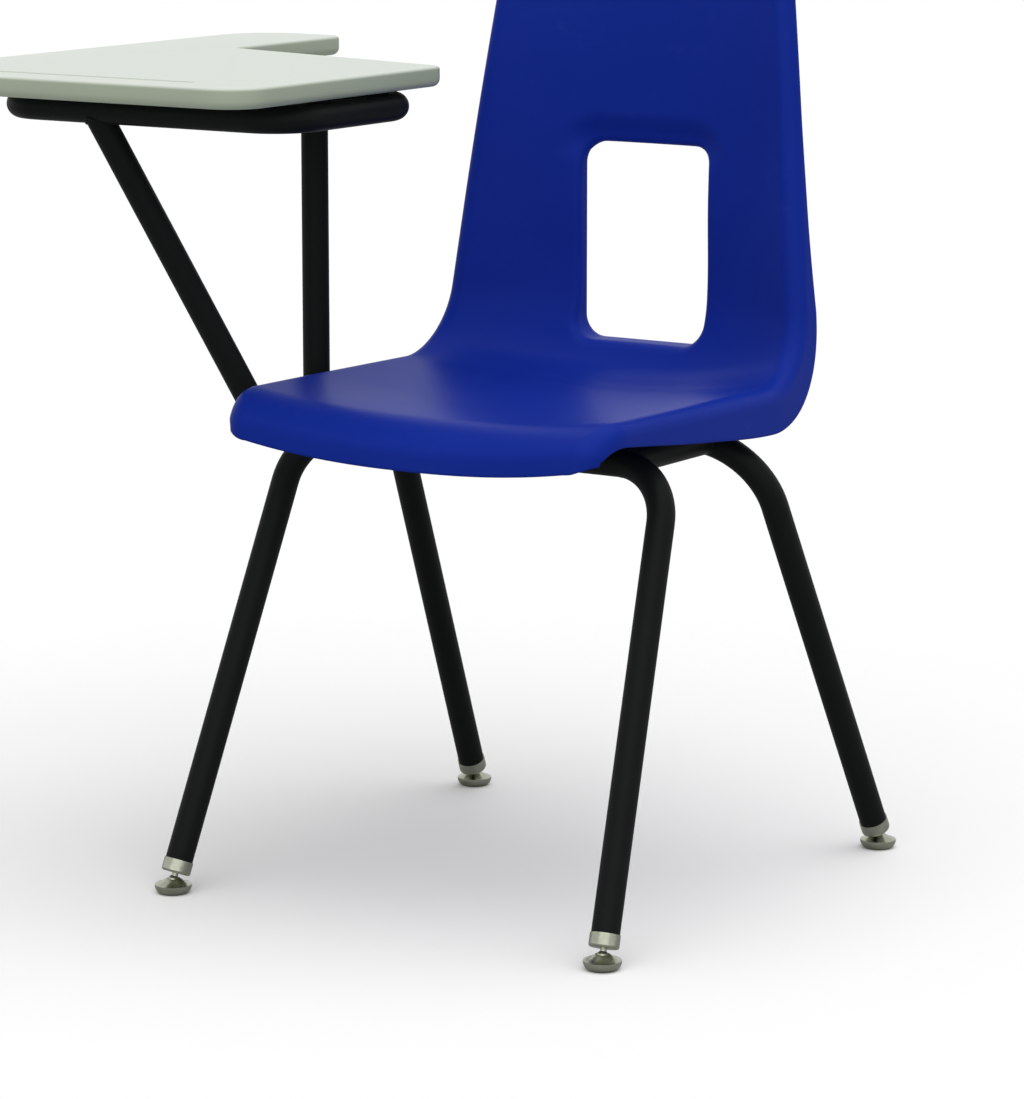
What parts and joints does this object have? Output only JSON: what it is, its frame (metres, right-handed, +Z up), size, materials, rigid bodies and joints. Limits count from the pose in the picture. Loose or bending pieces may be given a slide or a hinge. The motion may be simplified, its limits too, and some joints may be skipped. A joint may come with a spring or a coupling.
{
  "type": "student chair with writing tablet",
  "caption": "Moulded one-piece seat on a bent-tube steel frame with swivel glides and a fixed writing board with an elbow rest on the sitter's right.",
  "frame": {"origin": "on the floor, under the middle of the whole object's box", "axes": "+Z up, +X to the sitter's left, +Y to the back; the sitter faces -Y and the writing board is on the -X side"},
  "size_m": [0.774, 0.58, 0.832],
  "materials": {
    "blue_shell": "satin, fine moulded texture",
    "black_frame": "satin black powder coat",
    "laminate_top": "pale grey-green laminate, satin",
    "bright_nickel": "polished nickel plate",
    "zinc_screw": "zinc plate",
    "foot_cushion": "matt"
  },
  "bodies": {
    "chair": {"seat_shell": "blue_shell", "front_leg_tube": "black_frame", "rear_leg_tube": "black_frame", "left_side_rail": "black_frame", "right_side_rail": "black_frame", "front_left_seat_tab": "black_frame", "front_right_seat_tab": "black_frame", "rear_left_seat_tab": "black_frame", "rear_right_seat_tab": "black_frame", "seat_screws": "zinc_screw", "arm_post": "black_frame", "arm_strut": "black_frame", "tablet_ring": "black_frame", "front_tablet_strap": "black_frame", "rear_tablet_strap": "black_frame", "tablet_screws": "zinc_screw", "tablet_top": "laminate_top", "front_left_glide_ferrule": "bright_nickel", "front_right_glide_ferrule": "bright_nickel", "rear_left_glide_ferrule": "bright_nickel", "rear_right_glide_ferrule": "bright_nickel"},
    "front_left_stud": {"front_left_glide_stud": "bright_nickel"},
    "front_left_foot": {"front_left_glide_base": "bright_nickel", "front_left_glide_cap": "bright_nickel", "front_left_glide_cushion": "foot_cushion"},
    "front_right_stud": {"front_right_glide_stud": "bright_nickel"},
    "front_right_foot": {"front_right_glide_base": "bright_nickel", "front_right_glide_cap": "bright_nickel", "front_right_glide_cushion": "foot_cushion"},
    "rear_left_stud": {"rear_left_glide_stud": "bright_nickel"},
    "rear_left_foot": {"rear_left_glide_base": "bright_nickel", "rear_left_glide_cap": "bright_nickel", "rear_left_glide_cushion": "foot_cushion"},
    "rear_right_stud": {"rear_right_glide_stud": "bright_nickel"},
    "rear_right_foot": {"rear_right_glide_base": "bright_nickel", "rear_right_glide_cap": "bright_nickel", "rear_right_glide_cushion": "foot_cushion"}
  },
  "joints": [
    {"name": "front_left_swivel", "type": "hinge", "parent": "chair", "child": "front_left_stud", "pos_m": [0.37, -0.247, 0.011], "axis": [-0.0762, 0.367, 0.9271], "continuous": true},
    {"name": "front_left_tilt", "type": "hinge", "parent": "front_left_stud", "child": "front_left_foot", "pos_m": [0.37, -0.247, 0.011], "axis": [-0.9791, -0.2032, 0], "range_deg": [-7, 51]},
    {"name": "front_right_swivel", "type": "hinge", "parent": "chair", "child": "front_right_stud", "pos_m": [-0.094, -0.247, 0.011], "axis": [0.0762, 0.367, 0.9271], "continuous": true},
    {"name": "front_right_tilt", "type": "hinge", "parent": "front_right_stud", "child": "front_right_foot", "pos_m": [-0.094, -0.247, 0.011], "axis": [-0.9791, 0.2032, 0], "range_deg": [-7, 51]},
    {"name": "rear_left_swivel", "type": "hinge", "parent": "chair", "child": "rear_left_stud", "pos_m": [0.369, 0.252, 0.011], "axis": [-0.0697, -0.4229, 0.9035], "continuous": true},
    {"name": "rear_left_tilt", "type": "hinge", "parent": "rear_left_stud", "child": "rear_left_foot", "pos_m": [0.369, 0.252, 0.011], "axis": [0.9867, -0.1627, 0], "range_deg": [-4, 54]},
    {"name": "rear_right_swivel", "type": "hinge", "parent": "chair", "child": "rear_right_stud", "pos_m": [-0.093, 0.252, 0.011], "axis": [0.0697, -0.4229, 0.9035], "continuous": true},
    {"name": "rear_right_tilt", "type": "hinge", "parent": "rear_right_stud", "child": "rear_right_foot", "pos_m": [-0.093, 0.252, 0.011], "axis": [0.9867, 0.1627, 0], "range_deg": [-4, 54]}
  ]
}
